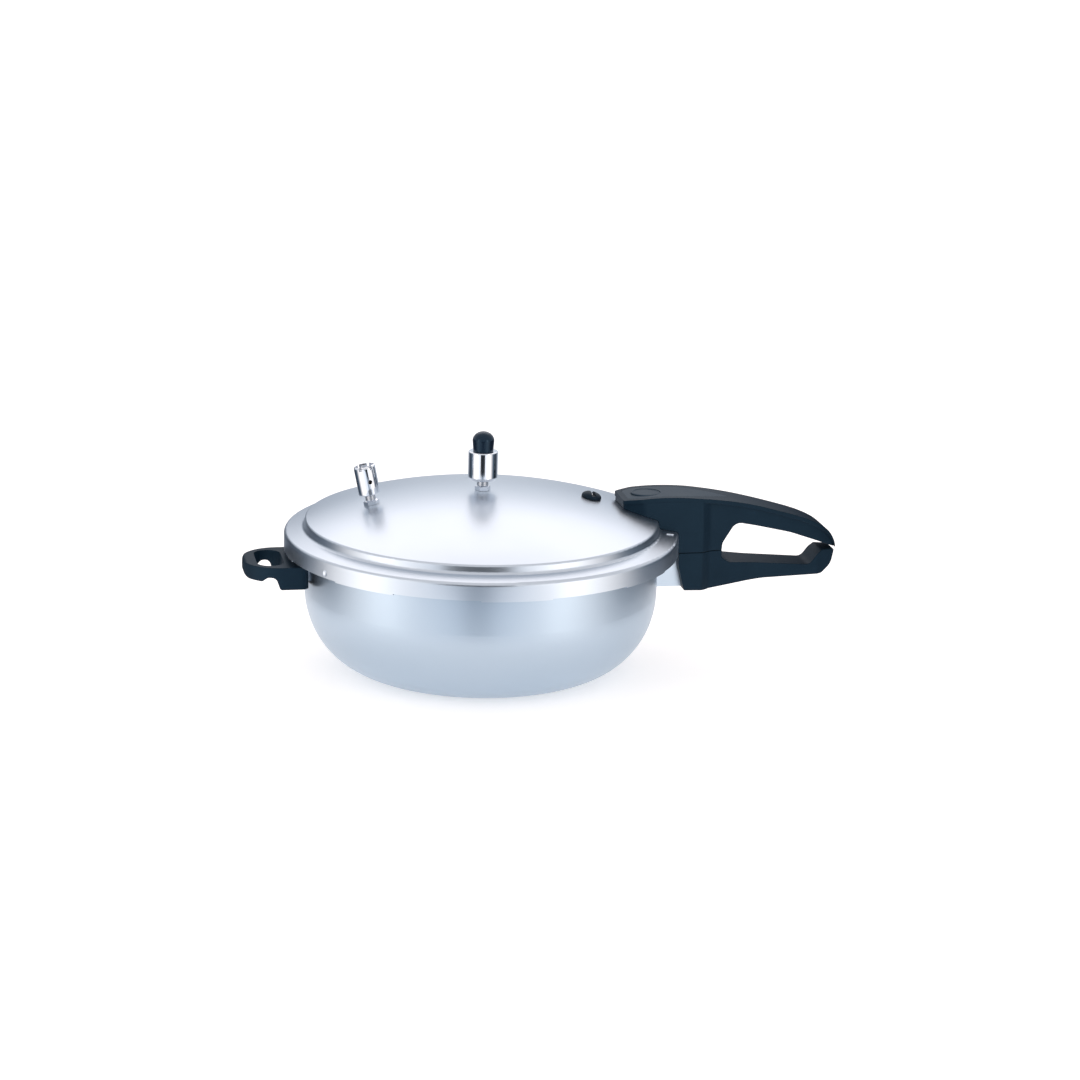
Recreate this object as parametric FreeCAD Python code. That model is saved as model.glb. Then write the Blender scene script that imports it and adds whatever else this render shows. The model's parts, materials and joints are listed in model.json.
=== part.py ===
import FreeCAD, Part
import math
import os

# Stovetop pressure cooker: aluminium pot, bayonet lid with its fittings, phenolic handles.
# Millimetres. +Z is up, +X runs along the long handle, the origin is the middle of the flat base.

Vec = FreeCAD.Vector
ORIGIN = Vec(0, 0, 0)
X_AXIS = Vec(1, 0, 0)
Y_AXIS = Vec(0, 1, 0)
Z_AXIS = Vec(0, 0, 1)

# ---- clearances ----
SEAT_GAP = 0.1          # between a moulded piece and the curved metal that it sits on
SHAFT_GAP = 0.08        # radial, between a sliding pin and its bore
FIT_GAP = 0.02          # radial, between a fixed screw, rivet or stem and its hole
PLATE_GAP = 0.05        # between metal faces that bear on each other
HEAD_GAP = 0.3          # around a screw head in its counterbore

# ---- pot ----
POT_BORE_R = 120.0
POT_WALL = 3.3
BASE_R = 74.0           # flat part of the base
BASE_THICKNESS = 4.0
CORNER_HEIGHT = 57.0    # where the elliptical corner meets the straight wall
RIM_TOP_Z = 91.5
FLANGE_OUT = 3.7        # rim flange, outside the wall
FLANGE_THICKNESS = 3.5

# ---- bayonet ----
LUG_COUNT = 8
LUG_SPAN = 20.0         # degrees
POT_LUG_OUT = 6.0       # pot lug, beyond the flange
LUG_PLAY = 0.5          # height between the closed lugs
LID_LUG_THICKNESS = 3.0
LUG_SIDE_GAP = 1.0      # radial, between a lug and what it passes
SKIRT_RELIEF = 0.8      # how much shorter the skirt is between its lugs

# ---- lid ----
LID_WALL = 3.0
RING_SPACE = 2.5        # from the rim's top to the underside of the shoulder's edge
SHOULDER_RISE = 2.6     # from the skirt's top corner to the foot of the step
SHOULDER_WIDTH = 13.6   # from the skirt in to the foot of the step
STEP_LEAN = 0.9         # how far the step leans in over its height
STEP_HEIGHT = 5.7
STEP_COVE = 2.4         # hollow radius between the step and the shoulder
DOME_RISE = 20.5
EDGE_FILLET = 2.6
CREASE_FILLET = 1.6
RING_GAP = 0.2          # between the sealing ring, the rim and the lid
RING_IN = 1.5           # from the pot's bore out to the sealing ring
DIMPLE_R = 3.2          # ball that presses the stop dimple
DIMPLE_OUT = 2.4
DIMPLE_RISE = 4.0
DIMPLE_AZIMUTH = -149.5
MARK_IN = 3.7           # from the skirt in to the point of the triangle on the shoulder
MARK_LENGTH = 4.8
MARK_HALF = 2.2
MARK_RISE = 0.5
MARK_AZIMUTH = -13.5

# ---- fittings on the dome ----
PLUG_TO_HANDLE = 12.9   # clear dome between the plug and the upper handle
NUT_CORNERS = 11.0
NUT_HEIGHT = 4.7
GASKET_THICKNESS = 0.8

VENT_PIPE_R = 4.0
VENT_BORE_R = 1.3
VENT_PIPE_TOP = 17.5
VENT_PIPE_BOTTOM = -12.0
SHIELD_R = 11.0
SHIELD_HEIGHT = 7.0
SHIELD_WALL = 0.8
SHIELD_HOLES = 12

WEIGHT_R = 10.3
WEIGHT_BOTTOM = 7.4
WEIGHT_HEIGHT = 20.4
WEIGHT_BORE_R = 5.0
NEEDLE_R = 2.4
KNOB_HEIGHT = 13.7
KNOB_FOOT_R = 7.0
KNOB_R = 7.6
KNOB_DOME = 6.5         # height of the knob's rounded top
KNOB_SINK = 4.0
KNOB_SPIGOT_R = 4.0

VALVE_R = 7.5
VALVE_BOTTOM = 7.4
VALVE_HEIGHT = 20.4
VALVE_RIM_R = 1.4        # round of its top edge
VALVE_SLOT_WIDTH = 2.2
VALVE_SLOT_DEPTH = 2.6
VALVE_HOLE_RISE = 9.7   # from the barrel's foot to its side holes
VALVE_WALL = 1.5
VALVE_SLOTS = 6
VALVE_HOLE_R = 1.5
STEM_R = 3.6
STEM_BORE_R = 1.5
SPRING_WIRE = 0.8
SPRING_R = 3.0
SPRING_PITCH = 1.73
ROD_R = 1.2
PLUNGER_DISC = 1.8
SEAT_RISE = 4.0         # from the barrel's foot to the stem's seat
CAP_DROP = 5.0          # from the barrel's top to the cap's underside

PLUG_R = 7.0
PLUG_HEIGHT = 4.8
PLUG_SLOT = 2.8
PIN_R = 1.2
PIN_TRAVEL = 3.0
PIN_SINK = 1.6          # from the plug's top down to the pin's tip

# ---- long handles ----
HANDLE_SPLIT_DROP = 2.5     # from the skirt's lower edge to the split between the handles
HANDLE_SPLIT_GAP = 0.5
HANDLE_FRONT_IN = 40.1      # how far the upper handle reaches in over the dome, from the skirt
HANDLE_LENGTH = 118.0       # from the skirt to the upper handle's tip
TIP_DROP = 2.4              # how far the tip hangs below the split
BLOCK_HALF = 22.0           # half widths, measured across the handle
PLATE_HALF = 19.2
NOSE_HALF = 15.0
GRIP_HALF = 13.6
LOWER_GRIP_HALF = 12.0
ROOT_HALF = 18.0            # where both grips leave the block
ROOT_TAPER = 2.5            # how much of that is lost by the top of the block
ROOT_LENGTH = 34.0          # over which they narrow
BLOCK_END = 20.5            # outward from the skirt, where the block narrows to the grip
PLATE_THICKNESS = 3.0
PLATE_LIP = 1.0
BADGE_R = 10.4
BADGE_THICKNESS = 1.8
INLAY_THICKNESS = 1.2
INLAY_MARGIN = 4.0
STUD_R = 5.0
STUD_HEIGHT = 5.0
STUD_HEAD_R = 3.4           # clenched head of the stud's tail, under the dome
STUD_TO_STEP = 0.1          # from that head to the inside of the step
SCREW_SEAT = 3.0            # from the badge's floor down to the front screw's seat
REAR_TONGUE_RISE = 4.0
REAR_TONGUE_THICKNESS = 3.0
REAR_TONGUE_LENGTH = 20.0
REAR_SCREW_X = 13.0
LOWER_FACE_X = -0.7         # the lower handle's inner face, outward from the skirt
LOWER_SHORTER = 0.8         # how much sooner the lower handle ends
LOWER_SCREW_X = 18.0
SCREW_R = 2.0
SCREW_HEAD_R = 4.0
SCREW_HEAD_HEIGHT = 2.6
RIVET_R = 1.9
RIVET_HEAD_R = 4.4
RIVET_HEAD_HEIGHT = 2.0

# ---- pot handle bracket ----
BRACKET_HALF = 15.0
BRACKET_WALL = 2.5
BRACKET_HEIGHT = 25.0
BRACKET_TOP_DROP = 10.5     # below the rim's top
TONGUE_HALF = 9.0
TONGUE_LENGTH = 24.0
TONGUE_THICKNESS = 4.0
TONGUE_DROP = 14.5          # from the channel's top down to the tongue
BRACKET_SINK = 5.5          # how deep the channel reaches into the lower handle

# ---- helper handle ----
HELPER_REACH = 43.6         # outward from the pot's wall
HELPER_HALF = 27.5
HELPER_TOP_DROP = 10.5      # below the rim's top
HELPER_BLOCK_HEIGHT = 15.6
HELPER_BLOCK_DEPTH = 20.2
HELPER_ARCH_DEPTH = 12.0
HELPER_LOBE_HEIGHT = 10.0
HELPER_ARCH_THICKNESS = 7.0
HELPER_HOLE_DEPTH = 18.3
HELPER_HOLE_WIDTH = 41.0
HELPER_HOLE_R = 9.0         # corners of the hole
HELPER_PLATE_HALF = 15.0
HELPER_RIVET_SIDE = 11.0    # rivets, either side of the middle
HELPER_CORNER_R = 25.0
HELPER_HOLE_START = 16.5    # outward from the pot's wall
HELPER_STANDOFF = 0.6       # from the wall to the helper handle's flat inner face
HELPER_TONGUE_DROP = 9.0
HELPER_TONGUE_LENGTH = 12.0
HELPER_TONGUE_THICKNESS = 3.0
HELPER_PLATE_DROP = 7.5     # from the handle's top to the middle of the bracket's plate
HELPER_SCREW_X = 8.5

# ---- values worked out from the sizes above ----
POT_R = POT_BORE_R + POT_WALL
FLANGE_R = POT_R + FLANGE_OUT
POT_LUG_R = FLANGE_R + POT_LUG_OUT
SKIRT_BORE_R = POT_LUG_R + 1.5 * LUG_SIDE_GAP
SKIRT_R = SKIRT_BORE_R + LID_WALL
LID_LUG_R = FLANGE_R + LUG_SIDE_GAP
STEP_FOOT_R = SKIRT_R - SHOULDER_WIDTH
STEP_TOP_R = STEP_FOOT_R - STEP_LEAN
SHOULDER_Z = RIM_TOP_Z + RING_SPACE + LID_WALL
STEP_FOOT_Z = SHOULDER_Z + SHOULDER_RISE
DOME_FOOT_Z = STEP_FOOT_Z + STEP_HEIGHT
DOME_TOP_Z = DOME_FOOT_Z + DOME_RISE
DOME_R = (STEP_TOP_R ** 2 + DOME_RISE ** 2) / (2 * DOME_RISE)
DOME_CENTRE_Z = DOME_TOP_Z - DOME_R
LID_LUG_TOP = RIM_TOP_Z - FLANGE_THICKNESS - LUG_PLAY
SKIRT_BOTTOM = LID_LUG_TOP - LID_LUG_THICKNESS
SPLIT_Z = SKIRT_BOTTOM - HANDLE_SPLIT_DROP
LOWER_TOP_Z = SPLIT_Z - HANDLE_SPLIT_GAP
BRACKET_TOP = RIM_TOP_Z - BRACKET_TOP_DROP
HELPER_TOP = RIM_TOP_Z - HELPER_TOP_DROP
BADGE_X = STEP_TOP_R - LID_WALL - STUD_HEAD_R - STUD_TO_STEP
FITTING_R = SKIRT_R - HANDLE_FRONT_IN - PLUG_TO_HANDLE - PLUG_R
SEAT_Z = VALVE_BOTTOM + SEAT_RISE
VALVE_TOP = VALVE_BOTTOM + VALVE_HEIGHT
CAP_BOTTOM = VALVE_TOP - CAP_DROP
PIN_TIP_Z = PLUG_HEIGHT - PIN_SINK
REAR_TONGUE_Z = SKIRT_BOTTOM + REAR_TONGUE_RISE
TONGUE_Z = BRACKET_TOP - TONGUE_DROP
BRACKET_END = SKIRT_R + LOWER_FACE_X + BRACKET_SINK
HELPER_TONGUE_Z = HELPER_TOP - HELPER_TONGUE_DROP


# ---- drawing helpers ----

def rounded_corner(before, corner, after, radius):
    """Points where the arc of a rounded corner starts, bulges and ends."""
    back = (before - corner).normalize()
    ahead = (after - corner).normalize()
    half = back.getAngle(ahead) / 2
    along = radius / math.tan(half)
    middle = (back + ahead).normalize()
    start = corner + back * along
    end = corner + ahead * along
    bulge = corner + middle * (radius / math.sin(half) - radius)
    return start, bulge, end


def rounded_path(points, closed=False):
    """Edges through (point, radius) pairs, each corner rounded to its radius."""
    count = len(points)
    edges = []
    here = None
    first = None
    for index in range(count):
        point, radius = points[index]
        inner = closed or 0 < index < count - 1
        if radius > 0 and inner:
            before = points[index - 1][0]
            after = points[(index + 1) % count][0]
            start, bulge, end = rounded_corner(before, point, after, radius)
        else:
            start, bulge, end = point, None, point
        if here is not None and here.distanceToPoint(start) > 1e-6:
            edges.append(Part.makeLine(here, start))
        if bulge is not None:
            edges.append(Part.Arc(start, bulge, end).toShape())
        if first is None:
            first = start
        here = end
    if closed and here.distanceToPoint(first) > 1e-6:
        edges.append(Part.makeLine(here, first))
    return edges


def side_points(corners):
    """(x, z, radius) corners as points in the XZ plane."""
    return [(Vec(x, 0, z), radius) for x, z, radius in corners]


def plan_wire(half_outline, z):
    """Closed wire at height z from (x, half width, radius) corners, mirrored about the X axis."""
    right = [(Vec(x, -y, z), radius) for x, y, radius in half_outline]
    left = [(Vec(x, y, z), radius) for x, y, radius in reversed(half_outline)]
    return Part.Wire(rounded_path(right + left, closed=True))


def spline(points):
    """Smooth edge through points in the XZ plane."""
    curve = Part.BSplineCurve()
    curve.interpolate([Vec(x, 0, z) for x, z in points])
    return curve.toShape()


def quarter_ellipse(start, corner, end):
    """Exact quarter of an ellipse between two points, bulging towards the corner."""
    curve = Part.BezierCurve()
    curve.setPoles([start, corner, end])
    curve.setWeight(2, math.sqrt(0.5))
    return curve.toShape()


def revolved(edges, degrees=360):
    """Solid of revolution about Z of a closed outline in the XZ plane."""
    return Part.Face(Part.Wire(edges)).revolve(ORIGIN, Z_AXIS, degrees)


def turned(corners):
    """Solid of revolution about Z from (radius, height, corner radius) corners."""
    return revolved(rounded_path(side_points(corners), closed=True))


def tube(outer_r, inner_r, low_z, high_z):
    ring = Part.makeCylinder(outer_r, high_z - low_z, Vec(0, 0, low_z))
    return ring.cut(Part.makeCylinder(inner_r, high_z - low_z, Vec(0, 0, low_z)))


def sector(inner_r, outer_r, low_z, high_z, middle, span):
    """Part of a ring, span degrees wide about the azimuth called middle."""
    corners = [(inner_r, low_z, 0), (outer_r, low_z, 0), (outer_r, high_z, 0), (inner_r, high_z, 0)]
    piece = revolved(rounded_path(side_points(corners), closed=True), span)
    piece.rotate(ORIGIN, Z_AXIS, middle - span / 2)
    return piece


def block(x_range, half_width, z_range):
    """Box centred on the XZ plane."""
    low_x, high_x = x_range
    low_z, high_z = z_range
    corner = Vec(low_x, -half_width, low_z)
    return Part.makeBox(high_x - low_x, 2 * half_width, high_z - low_z, corner)


def pull_across(edges, half_width):
    """Outline in the XZ plane drawn out to both sides of it."""
    face = Part.Face(Part.Wire(edges))
    face.translate(Vec(0, -half_width, 0))
    return face.extrude(Vec(0, 2 * half_width, 0))


def circle_edges(shape, radius, z):
    """Circular edges about the Z axis at one radius and height."""
    found = []
    for edge in shape.Edges:
        if edge.Degenerated:
            continue
        curve = edge.Curve
        if not isinstance(curve, Part.Circle):
            continue
        centre = curve.Center
        on_axis = abs(centre.x) < 0.01 and abs(centre.y) < 0.01
        if on_axis and abs(curve.Radius - radius) < 0.01 and abs(centre.z - z) < 0.01:
            found.append(edge)
    return found


def hex_nut(corners, low_z, height, bore_r):
    """Hexagon nut with a domed top, one corner facing +X."""
    points = []
    for index in range(7):
        angle = math.radians(60 * index)
        points.append(Vec(corners / 2 * math.cos(angle), corners / 2 * math.sin(angle), low_z))
    prism = Part.Face(Part.makePolygon(points)).extrude(Vec(0, 0, height))
    ball_r = corners * 0.62
    ball = Part.makeSphere(ball_r, Vec(0, 0, low_z + height - ball_r))
    foot = Part.makeCylinder(corners, height * 0.55, Vec(0, 0, low_z))
    nut = prism.common(ball.fuse(foot))
    return nut.cut(Part.makeCylinder(bore_r, height, Vec(0, 0, low_z)))


def dome_z(distance):
    """Height of the lid's outer face at a distance from the axis."""
    return DOME_CENTRE_Z + math.sqrt(DOME_R ** 2 - distance ** 2)


def on_dome(shape, distance, azimuth):
    """Places a piece modelled about +Z at the origin square on the dome's outer face."""
    placed = shape.copy()
    placed.rotate(ORIGIN, Y_AXIS, math.degrees(math.asin(distance / DOME_R)))
    placed.translate(Vec(distance, 0, dome_z(distance)))
    placed.rotate(ORIGIN, Z_AXIS, azimuth)
    return placed


def on_lid_top(shape):
    return on_dome(shape, 0, 0)


def on_valve_seat(shape):
    return on_dome(shape, FITTING_R, 180)


def on_plug_seat(shape):
    return on_dome(shape, FITTING_R, 0)


def rivet(grip):
    """Round-headed rivet along +Z: its head below z = 0, its clenched end above the grip."""
    head = turned([(0, -RIVET_HEAD_HEIGHT, 0), (RIVET_HEAD_R * 0.6, -RIVET_HEAD_HEIGHT, 1.0),
                   (RIVET_HEAD_R, 0, 0), (0, 0, 0)])
    shank = Part.makeCylinder(RIVET_R, grip)
    closed_end = turned([(0, grip, 0), (RIVET_R * 1.5, grip, 0),
                         (RIVET_R, grip + RIVET_HEAD_HEIGHT * 0.7, 0.5),
                         (0, grip + RIVET_HEAD_HEIGHT * 0.7, 0)])
    return head.fuse(shank).fuse(closed_end).removeSplitter()


def screw(length):
    """Pan-head screw along +Z: its head below z = 0, a cross slot in the head."""
    head = Part.makeCylinder(SCREW_HEAD_R, SCREW_HEAD_HEIGHT, Vec(0, 0, -SCREW_HEAD_HEIGHT))
    head = head.makeFillet(0.8, circle_edges(head, SCREW_HEAD_R, -SCREW_HEAD_HEIGHT))
    body = head.fuse(Part.makeCylinder(SCREW_R, length))
    for angle in (0, 90):
        slot = Part.makeBox(5.0, 0.9, 1.4, Vec(-2.5, -0.45, -SCREW_HEAD_HEIGHT - 0.1))
        slot.rotate(ORIGIN, Z_AXIS, angle)
        body = body.cut(slot)
    return body


def washer(outer_r, thickness):
    return tube(outer_r, SCREW_R + SEAT_GAP, 0, thickness)


# ---- pot ----

def pot_profile(wall_r, base_z, top_z):
    """Filled outline of a pan with an elliptical corner, up to top_z."""
    low = Vec(BASE_R, 0, base_z)
    high = Vec(wall_r, 0, CORNER_HEIGHT)
    corner = Vec(wall_r, 0, base_z)
    return [
        Part.makeLine(Vec(0, 0, base_z), low),
        quarter_ellipse(low, corner, high),
        Part.makeLine(high, Vec(wall_r, 0, top_z)),
        Part.makeLine(Vec(wall_r, 0, top_z), Vec(0, 0, top_z)),
        Part.makeLine(Vec(0, 0, top_z), Vec(0, 0, base_z)),
    ]


def lug_azimuths():
    return [360 / LUG_COUNT * index for index in range(LUG_COUNT)]


def make_pot():
    outside = revolved(pot_profile(POT_R, 0, RIM_TOP_Z))
    flange_low = RIM_TOP_Z - FLANGE_THICKNESS
    outside = outside.fuse(tube(FLANGE_R, POT_BORE_R, flange_low, RIM_TOP_Z))
    for azimuth in lug_azimuths():
        outside = outside.fuse(sector(POT_BORE_R, POT_LUG_R, flange_low, RIM_TOP_Z, azimuth, LUG_SPAN))
    inside = revolved(pot_profile(POT_BORE_R, BASE_THICKNESS, RIM_TOP_Z + 1))
    return outside.cut(inside).removeSplitter()


# ---- lid ----

def lid_body(offset, bottom_z):
    """Filled lid: its outer face moved inward by offset, drawn down to bottom_z."""
    foot_r = STEP_TOP_R - offset
    foot_z = DOME_CENTRE_Z + math.sqrt((DOME_R - offset) ** 2 - foot_r ** 2)
    step_r = STEP_FOOT_R - offset
    step_z = STEP_FOOT_Z - offset
    edge_z = SHOULDER_Z - offset
    skirt_r = SKIRT_R - offset
    dome = Part.Arc(
        Vec(0, 0, DOME_TOP_Z - offset),
        Vec(foot_r / 2, 0, DOME_CENTRE_Z + math.sqrt((DOME_R - offset) ** 2 - foot_r ** 2 / 4)),
        Vec(foot_r, 0, foot_z)).toShape()
    rest = rounded_path(side_points([
        (foot_r, foot_z, 0), (step_r, step_z, STEP_COVE + offset),
        (skirt_r, edge_z, max(EDGE_FILLET - offset, 0.4)), (skirt_r, bottom_z, 0),
        (0, bottom_z, 0), (0, DOME_TOP_Z - offset, 0)]))
    body = revolved([dome] + rest)
    if offset > 0:
        return body
    return body.makeFillet(CREASE_FILLET, circle_edges(body, foot_r, foot_z))


def fitting_hole(radius):
    return Part.makeCylinder(radius, 3 * LID_WALL, Vec(0, 0, -2 * LID_WALL))


def make_lid():
    skirt_low = SKIRT_BOTTOM + SKIRT_RELIEF
    shell = lid_body(0, skirt_low).cut(lid_body(LID_WALL, skirt_low - 1))
    for azimuth in lug_azimuths():
        lug = sector(LID_LUG_R, SKIRT_R, SKIRT_BOTTOM, LID_LUG_TOP, azimuth, LUG_SPAN)
        shell = shell.fuse(lug)
    shell = shell.cut(on_lid_top(fitting_hole(VENT_PIPE_R + SEAT_GAP)))
    shell = shell.cut(on_valve_seat(fitting_hole(STEM_R + SEAT_GAP)))
    shell = shell.cut(on_plug_seat(fitting_hole(PLUG_R - 2.0)))
    stud_hole = Part.makeCylinder(RIVET_R + SEAT_GAP, 40, Vec(BADGE_X, 0, dome_z(BADGE_X) - 20))
    shell = shell.cut(stud_hole)
    return shell.cut(stop_dimple()).fuse(alignment_mark()).removeSplitter()


def stop_dimple():
    """Shallow round dimple pressed in the skirt, where the lid's turn is stopped."""
    ball = Part.makeSphere(DIMPLE_R, Vec(SKIRT_R + DIMPLE_OUT, 0, SKIRT_BOTTOM + DIMPLE_RISE))
    ball.rotate(ORIGIN, Z_AXIS, DIMPLE_AZIMUTH)
    return ball


def alignment_mark():
    """Raised triangle on the shoulder that shows how far to turn the lid."""
    low_z = SHOULDER_Z - LID_WALL / 2
    tip_r = SKIRT_R - MARK_IN
    foot_r = tip_r - MARK_LENGTH
    points = [Vec(foot_r, -MARK_HALF, low_z), Vec(foot_r, MARK_HALF, low_z), Vec(tip_r, 0, low_z)]
    prism = Part.Face(Part.makePolygon(points + points[:1])).extrude(Vec(0, 0, 2 * LID_WALL))
    mark = prism.common(lid_body(-MARK_RISE, SPLIT_Z - 20))
    mark.rotate(ORIGIN, Z_AXIS, MARK_AZIMUTH)
    return mark


def make_sealing_ring():
    """Ring under the shoulder, its top face parallel to the shoulder's underside."""
    low_z = RIM_TOP_Z + RING_GAP
    inner_r = POT_BORE_R + RING_IN
    outer_r = SKIRT_BORE_R - SEAT_GAP
    edge_z = SHOULDER_Z - LID_WALL - RING_GAP
    slope = SHOULDER_RISE / (SKIRT_R - STEP_FOOT_R)
    return turned([
        (inner_r, low_z, 0.5), (outer_r, low_z, 0), (outer_r, edge_z, 0),
        (inner_r, edge_z + (outer_r - inner_r) * slope, 0.5)])


# ---- vent pipe and weight, heights measured from the dome's top ----

def make_vent_pipe():
    pipe = turned([
        (0, VENT_PIPE_BOTTOM, 0), (VENT_PIPE_R, VENT_PIPE_BOTTOM, 0),
        (VENT_PIPE_R, -LID_WALL - GASKET_THICKNESS - 1.6, 0),
        (VENT_PIPE_R + 3, -LID_WALL - GASKET_THICKNESS - 1.6, 0),
        (VENT_PIPE_R + 3, -LID_WALL - GASKET_THICKNESS, 0),
        (VENT_PIPE_R, -LID_WALL - GASKET_THICKNESS, 0),
        (VENT_PIPE_R, VENT_PIPE_TOP - 3, 0), (VENT_PIPE_R - 1.6, VENT_PIPE_TOP, 0),
        (0, VENT_PIPE_TOP, 0)])
    bore = Part.makeCylinder(VENT_BORE_R, 60, Vec(0, 0, -30))
    cone = Part.makeCone(VENT_BORE_R, NEEDLE_R, 1.6, Vec(0, 0, VENT_PIPE_TOP - 1.6))
    return on_lid_top(pipe.cut(bore).cut(cone))


def make_vent_seal():
    return on_lid_top(gasket(VENT_PIPE_R))


def gasket(stem_r):
    """Flat washer between a fitting's flange and the underside of the lid."""
    low_z = -LID_WALL - GASKET_THICKNESS
    return tube(stem_r + 3, stem_r + SEAT_GAP, low_z, -LID_WALL - SEAT_GAP)


def make_vent_nut():
    return on_lid_top(hex_nut(NUT_CORNERS, SEAT_GAP, NUT_HEIGHT, VENT_PIPE_R + FIT_GAP))


def make_vent_shield():
    """Perforated cup pushed on the lower end of the vent pipe, against clogging."""
    low_z = VENT_PIPE_BOTTOM - SHIELD_HEIGHT + 2.5
    high_z = low_z + SHIELD_HEIGHT
    cup = turned([(0, low_z, 0), (SHIELD_R, low_z, 2), (SHIELD_R, high_z, 1.5), (0, high_z, 0)])
    inner_r = SHIELD_R - SHIELD_WALL
    hollow = turned([(0, low_z + SHIELD_WALL, 0), (inner_r, low_z + SHIELD_WALL, 1.5),
                     (inner_r, high_z - SHIELD_WALL, 1), (0, high_z - SHIELD_WALL, 0)])
    cup = cup.cut(hollow).cut(Part.makeCylinder(VENT_PIPE_R + FIT_GAP, 4, Vec(0, 0, high_z - 2)))
    for index in range(SHIELD_HOLES):
        hole = Part.makeCylinder(1.1, 4, Vec(SHIELD_R - 2, 0, (low_z + high_z) / 2), X_AXIS)
        hole.rotate(ORIGIN, Z_AXIS, 360 / SHIELD_HOLES * index)
        cup = cup.cut(hole)
    return on_lid_top(cup)


def make_weight_shell():
    """Chromed weight, hollow below, with a tapered seat for the needle."""
    top = WEIGHT_BOTTOM + WEIGHT_HEIGHT
    ceiling = VENT_PIPE_TOP + 1.2
    shell = turned([
        (0, WEIGHT_BOTTOM, 0), (WEIGHT_R - 1.5, WEIGHT_BOTTOM, 0.4), (WEIGHT_R, WEIGHT_BOTTOM + 1.9, 1),
        (WEIGHT_R, top, 0.8), (0, top, 0)])
    bore = Part.makeCylinder(WEIGHT_BORE_R, ceiling - WEIGHT_BOTTOM + 1, Vec(0, 0, WEIGHT_BOTTOM - 1))
    needle_hole = Part.makeCylinder(NEEDLE_R, 10, Vec(0, 0, ceiling - 1))
    socket = Part.makeCylinder(KNOB_SPIGOT_R + SEAT_GAP, KNOB_SINK, Vec(0, 0, top - KNOB_SINK))
    return on_lid_top(shell.cut(bore).cut(needle_hole).cut(socket))


def make_weight_needle():
    """Pointed steel pin in the weight that closes the top of the vent pipe."""
    tip_z = VENT_PIPE_TOP - 0.6
    seat_z = VENT_PIPE_TOP + 0.5
    top = WEIGHT_BOTTOM + WEIGHT_HEIGHT - KNOB_SINK
    needle = turned([(0, tip_z, 0), (0.6, tip_z, 0), (NEEDLE_R - 0.1, seat_z, 0),
                     (NEEDLE_R - FIT_GAP, top, 0), (0, top, 0)])
    return on_lid_top(needle)


def make_weight_knob():
    foot_z = WEIGHT_BOTTOM + WEIGHT_HEIGHT
    top = foot_z + KNOB_HEIGHT
    shoulder = Vec(KNOB_R, 0, top - KNOB_DOME)
    outline = [
        Part.makeLine(Vec(0, 0, foot_z), Vec(KNOB_FOOT_R, 0, foot_z)),
        Part.makeLine(Vec(KNOB_FOOT_R, 0, foot_z), shoulder),
        quarter_ellipse(shoulder, Vec(KNOB_R, 0, top), Vec(0, 0, top)),
        Part.makeLine(Vec(0, 0, top), Vec(0, 0, foot_z)),
    ]
    spigot = Part.makeCylinder(KNOB_SPIGOT_R, KNOB_SINK, Vec(0, 0, foot_z - KNOB_SINK))
    return on_lid_top(revolved(outline).fuse(spigot).removeSplitter())


# ---- safety valve, heights measured from the dome along the valve's axis ----


def make_valve_stem():
    flange_z = -LID_WALL - GASKET_THICKNESS
    stem = turned([
        (0, -9, 0), (STEM_R, -9, 0), (STEM_R, flange_z - 1.6, 0), (STEM_R + 3, flange_z - 1.6, 0),
        (STEM_R + 3, flange_z, 0), (STEM_R, flange_z, 0), (STEM_R, SEAT_Z, 0), (0, SEAT_Z, 0)])
    return on_valve_seat(stem.cut(Part.makeCylinder(STEM_BORE_R, 40, Vec(0, 0, -20))))


def make_valve_seal():
    return on_valve_seat(gasket(STEM_R))


def make_valve_nut():
    return on_valve_seat(hex_nut(NUT_CORNERS, SEAT_GAP, NUT_HEIGHT - 0.4, STEM_R + FIT_GAP))


def make_valve_body():
    """Slotted chrome barrel screwed on the stem, with side holes that let the steam out."""
    barrel = turned([
        (0, VALVE_BOTTOM, 0), (VALVE_R - 0.6, VALVE_BOTTOM, 0), (VALVE_R, VALVE_BOTTOM + 0.6, 0),
        (VALVE_R, VALVE_TOP, VALVE_RIM_R), (0, VALVE_TOP, 0)])
    inner_r = VALVE_R - VALVE_WALL
    barrel = barrel.cut(Part.makeCylinder(inner_r, VALVE_HEIGHT, Vec(0, 0, SEAT_Z - 1.0)))
    barrel = barrel.cut(Part.makeCylinder(STEM_R + FIT_GAP, 20, Vec(0, 0, 0)))
    for index in range(4):
        hole = Part.makeCylinder(VALVE_HOLE_R, VALVE_R, Vec(3, 0, VALVE_BOTTOM + VALVE_HOLE_RISE), X_AXIS)
        hole.rotate(ORIGIN, Z_AXIS, 90 * index - 80)
        barrel = barrel.cut(hole)
    for index in range(VALVE_SLOTS):
        slot = Part.makeBox(
            VALVE_R, VALVE_SLOT_WIDTH, VALVE_SLOT_DEPTH + 1,
            Vec(VALVE_R - 3.2, -VALVE_SLOT_WIDTH / 2, VALVE_TOP - VALVE_SLOT_DEPTH))
        slot.rotate(ORIGIN, Z_AXIS, 360 / VALVE_SLOTS * index)
        barrel = barrel.cut(slot)
    return on_valve_seat(barrel)


def make_valve_cap():
    """Threaded plug that sets the spring's load, with a screwdriver slot."""
    inner_r = VALVE_R - VALVE_WALL - PLATE_GAP
    cap = Part.makeCylinder(inner_r, 2.6, Vec(0, 0, CAP_BOTTOM))
    cap = cap.cut(Part.makeCylinder(ROD_R + 0.4, 6, Vec(0, 0, CAP_BOTTOM - 1)))
    slot = Part.makeBox(2 * inner_r + 1, 1.6, 1.2, Vec(-inner_r - 0.5, -0.8, CAP_BOTTOM + 1.6))
    return on_valve_seat(cap.cut(slot))


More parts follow.
